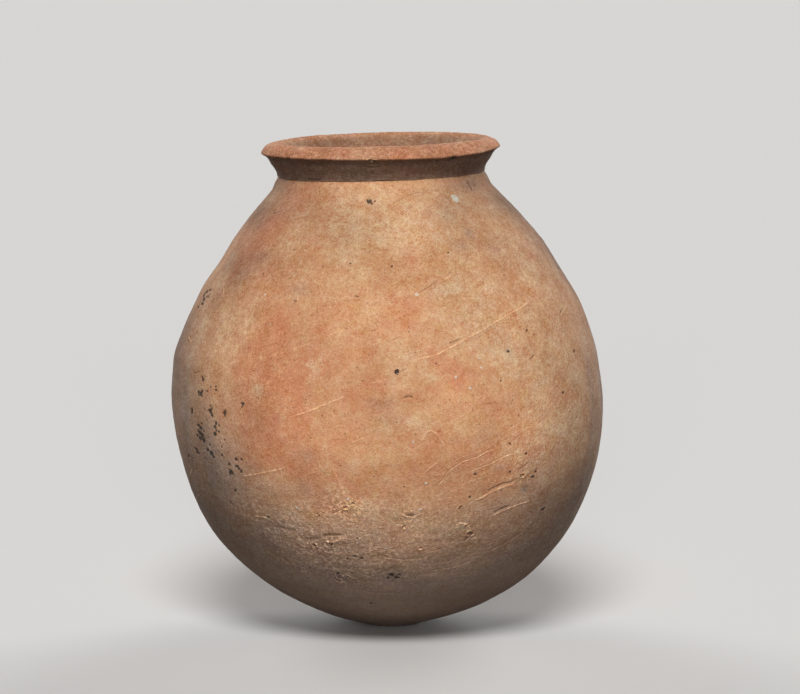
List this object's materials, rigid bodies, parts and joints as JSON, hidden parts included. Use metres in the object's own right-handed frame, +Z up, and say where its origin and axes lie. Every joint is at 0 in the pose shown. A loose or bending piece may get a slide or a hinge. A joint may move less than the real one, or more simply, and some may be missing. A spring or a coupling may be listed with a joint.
{
  "type": "globular water jar",
  "caption": "Round-bodied fired clay jar with a rounded base, short neck and thick everted lip, for holding and cooling water.",
  "frame": {"origin": "on the ground under the middle of the belly", "axes": "+Z up towards the mouth; +X to the right and +Y away from a viewer who sees the jar leaning slightly to the left"},
  "size_m": [0.2831, 0.2832, 0.321],
  "materials": {
    "buff_earthenware": "matt unglazed fired clay, wiped by hand, buff with orange blushes",
    "rim_earthenware": "matt unglazed fired clay, sandy and orange-pink",
    "luting_clay": "matt fired clay, smeared"
  },
  "bodies": {
    "root": {"base_bowl": "buff_earthenware", "lower_wall": "buff_earthenware", "belly_wall": "buff_earthenware", "shoulder_wall": "buff_earthenware", "rim_collar": "rim_earthenware", "neck_luting_bead": "luting_clay"}
  },
  "joints": []
}
